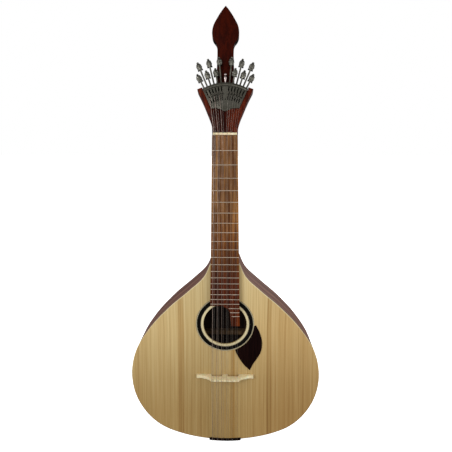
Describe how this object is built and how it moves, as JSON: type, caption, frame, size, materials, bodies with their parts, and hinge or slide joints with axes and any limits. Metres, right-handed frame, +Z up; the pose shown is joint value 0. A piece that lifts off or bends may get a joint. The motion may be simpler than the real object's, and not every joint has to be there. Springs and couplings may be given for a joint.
{
  "type": "portuguese guitar",
  "caption": "Pear-bodied plucked instrument with paired strings, loose arched bridge, round soundhole and a fan tuning machine whose screws pull sliding hooks.",
  "frame": {"origin": "in the middle of the head's wood, 26 mm above the back of the nut, where a hanger's yoke holds it", "axes": "+Z up along the body towards the head, the strings face -Y, +X is the treble side"},
  "size_m": [0.383, 0.1077, 0.8578],
  "materials": {
    "spruce": "satin oiled spruce, fine straight grain",
    "rosewood": "satin dark rosewood",
    "cedar": "bare",
    "neck_wood": "satin red-brown stain",
    "board_wood": "oiled, open grain",
    "ebony": "polished dark wood",
    "bone": "polished bone",
    "inlay": "polished light and black rings",
    "pewter": "aged grey plating, dull",
    "steel": "plain steel",
    "bronze": "wound bronze"
  },
  "bodies": {
    "instrument": {"soundboard": "spruce", "rosette": "inlay", "back": "rosewood", "rib_treble": "rosewood", "rib_bass": "rosewood", "top_lining_treble": "cedar", "top_lining_bass": "cedar", "back_lining_treble": "cedar", "back_lining_bass": "cedar", "neck_block": "cedar", "tail_block": "cedar", "top_brace_1": "spruce", "top_brace_2": "spruce", "back_brace_1": "cedar", "back_brace_2": "cedar", "neck": "neck_wood", "fingerboard": "board_wood", "nut": "bone", "bridge": "bone", "pickguard": "ebony", "tail_saddle": "ebony", "tailpiece": "steel", "tuner_tray": "pewter", "tuner_cover": "pewter", "string_1": "bronze", "string_2": "bronze", "string_3": "bronze", "string_4": "bronze", "string_5": "bronze", "string_6": "bronze", "string_7": "steel", "string_8": "steel", "string_9": "steel", "string_10": "steel", "string_11": "steel", "string_12": "steel"},
    "screw_1": {"tuning_screw_1": "pewter"},
    "hook_1": {"string_hook_1": "steel"},
    "screw_2": {"tuning_screw_2": "pewter"},
    "hook_2": {"string_hook_2": "steel"},
    "screw_3": {"tuning_screw_3": "pewter"},
    "hook_3": {"string_hook_3": "steel"},
    "screw_4": {"tuning_screw_4": "pewter"},
    "hook_4": {"string_hook_4": "steel"},
    "screw_5": {"tuning_screw_5": "pewter"},
    "hook_5": {"string_hook_5": "steel"},
    "screw_6": {"tuning_screw_6": "pewter"},
    "hook_6": {"string_hook_6": "steel"},
    "screw_7": {"tuning_screw_7": "pewter"},
    "hook_7": {"string_hook_7": "steel"},
    "screw_8": {"tuning_screw_8": "pewter"},
    "hook_8": {"string_hook_8": "steel"},
    "screw_9": {"tuning_screw_9": "pewter"},
    "hook_9": {"string_hook_9": "steel"},
    "screw_10": {"tuning_screw_10": "pewter"},
    "hook_10": {"string_hook_10": "steel"},
    "screw_11": {"tuning_screw_11": "pewter"},
    "hook_11": {"string_hook_11": "steel"},
    "screw_12": {"tuning_screw_12": "pewter"},
    "hook_12": {"string_hook_12": "steel"}
  },
  "joints": [
    {"name": "screw_turn_1", "type": "hinge", "parent": "instrument", "child": "screw_1", "pos_m": [0, -0.00974, -0.01715], "axis": [-0.461, 0.2147, 0.8611], "range_deg": [-3785, 4325]},
    {"name": "hook_slide_1", "type": "slide", "parent": "instrument", "child": "hook_1", "axis": [-0.461, 0.2147, 0.8611], "range_m": [-0.0096, 0.0084], "deforming": ["string_1"]},
    {"name": "screw_turn_2", "type": "hinge", "parent": "instrument", "child": "screw_2", "pos_m": [0, -0.00974, -0.01715], "axis": [-0.3907, 0.2227, 0.8932], "range_deg": [-3785, 4325]},
    {"name": "hook_slide_2", "type": "slide", "parent": "instrument", "child": "hook_2", "axis": [-0.3907, 0.2227, 0.8932], "range_m": [-0.0096, 0.0084], "deforming": ["string_2"]},
    {"name": "screw_turn_3", "type": "hinge", "parent": "instrument", "child": "screw_3", "pos_m": [0, -0.00974, -0.01715], "axis": [-0.3181, 0.2294, 0.9199], "range_deg": [-3785, 4325]},
    {"name": "hook_slide_3", "type": "slide", "parent": "instrument", "child": "hook_3", "axis": [-0.3181, 0.2294, 0.9199], "range_m": [-0.0096, 0.0084], "deforming": ["string_3"]},
    {"name": "screw_turn_4", "type": "hinge", "parent": "instrument", "child": "screw_4", "pos_m": [0, -0.00974, -0.01715], "axis": [-0.2436, 0.2346, 0.9411], "range_deg": [-3785, 4325]},
    {"name": "hook_slide_4", "type": "slide", "parent": "instrument", "child": "hook_4", "axis": [-0.2436, 0.2346, 0.9411], "range_m": [-0.0096, 0.0084], "deforming": ["string_4"]},
    {"name": "screw_turn_5", "type": "hinge", "parent": "instrument", "child": "screw_5", "pos_m": [0, -0.00974, -0.01715], "axis": [-0.1676, 0.2385, 0.9566], "range_deg": [-3785, 4325]},
    {"name": "hook_slide_5", "type": "slide", "parent": "instrument", "child": "hook_5", "axis": [-0.1676, 0.2385, 0.9566], "range_m": [-0.0096, 0.0084], "deforming": ["string_5"]},
    {"name": "screw_turn_6", "type": "hinge", "parent": "instrument", "child": "screw_6", "pos_m": [0, -0.00974, -0.01715], "axis": [-0.0906, 0.2409, 0.9663], "range_deg": [-3785, 4325]},
    {"name": "hook_slide_6", "type": "slide", "parent": "instrument", "child": "hook_6", "axis": [-0.0906, 0.2409, 0.9663], "range_m": [-0.0096, 0.0084], "deforming": ["string_6"]},
    {"name": "screw_turn_7", "type": "hinge", "parent": "instrument", "child": "screw_7", "pos_m": [0, -0.00974, -0.01715], "axis": [0.0906, 0.2409, 0.9663], "range_deg": [-3785, 4325]},
    {"name": "hook_slide_7", "type": "slide", "parent": "instrument", "child": "hook_7", "axis": [0.0906, 0.2409, 0.9663], "range_m": [-0.0096, 0.0084], "deforming": ["string_7"]},
    {"name": "screw_turn_8", "type": "hinge", "parent": "instrument", "child": "screw_8", "pos_m": [0, -0.00974, -0.01715], "axis": [0.1676, 0.2385, 0.9566], "range_deg": [-3785, 4325]},
    {"name": "hook_slide_8", "type": "slide", "parent": "instrument", "child": "hook_8", "axis": [0.1676, 0.2385, 0.9566], "range_m": [-0.0096, 0.0084], "deforming": ["string_8"]},
    {"name": "screw_turn_9", "type": "hinge", "parent": "instrument", "child": "screw_9", "pos_m": [0, -0.00974, -0.01715], "axis": [0.2436, 0.2346, 0.9411], "range_deg": [-3785, 4325]},
    {"name": "hook_slide_9", "type": "slide", "parent": "instrument", "child": "hook_9", "axis": [0.2436, 0.2346, 0.9411], "range_m": [-0.0096, 0.0084], "deforming": ["string_9"]},
    {"name": "screw_turn_10", "type": "hinge", "parent": "instrument", "child": "screw_10", "pos_m": [0, -0.00974, -0.01715], "axis": [0.3181, 0.2294, 0.9199], "range_deg": [-3785, 4325]},
    {"name": "hook_slide_10", "type": "slide", "parent": "instrument", "child": "hook_10", "axis": [0.3181, 0.2294, 0.9199], "range_m": [-0.0096, 0.0084], "deforming": ["string_10"]},
    {"name": "screw_turn_11", "type": "hinge", "parent": "instrument", "child": "screw_11", "pos_m": [0, -0.00974, -0.01715], "axis": [0.3907, 0.2227, 0.8932], "range_deg": [-3785, 4325]},
    {"name": "hook_slide_11", "type": "slide", "parent": "instrument", "child": "hook_11", "axis": [0.3907, 0.2227, 0.8932], "range_m": [-0.0096, 0.0084], "deforming": ["string_11"]},
    {"name": "screw_turn_12", "type": "hinge", "parent": "instrument", "child": "screw_12", "pos_m": [0, -0.00974, -0.01715], "axis": [0.461, 0.2147, 0.8611], "range_deg": [-3785, 4325]},
    {"name": "hook_slide_12", "type": "slide", "parent": "instrument", "child": "hook_12", "axis": [0.461, 0.2147, 0.8611], "range_m": [-0.0096, 0.0084], "deforming": ["string_12"]}
  ],
  "couplings": [
    {"joint": "screw_turn_1", "follows": "hook_slide_1", "rad_per_m": -7854},
    {"joint": "screw_turn_2", "follows": "hook_slide_2", "rad_per_m": -7854},
    {"joint": "screw_turn_3", "follows": "hook_slide_3", "rad_per_m": -7854},
    {"joint": "screw_turn_4", "follows": "hook_slide_4", "rad_per_m": -7854},
    {"joint": "screw_turn_5", "follows": "hook_slide_5", "rad_per_m": -7854},
    {"joint": "screw_turn_6", "follows": "hook_slide_6", "rad_per_m": -7854},
    {"joint": "screw_turn_7", "follows": "hook_slide_7", "rad_per_m": -7854},
    {"joint": "screw_turn_8", "follows": "hook_slide_8", "rad_per_m": -7854},
    {"joint": "screw_turn_9", "follows": "hook_slide_9", "rad_per_m": -7854},
    {"joint": "screw_turn_10", "follows": "hook_slide_10", "rad_per_m": -7854},
    {"joint": "screw_turn_11", "follows": "hook_slide_11", "rad_per_m": -7854},
    {"joint": "screw_turn_12", "follows": "hook_slide_12", "rad_per_m": -7854}
  ]
}
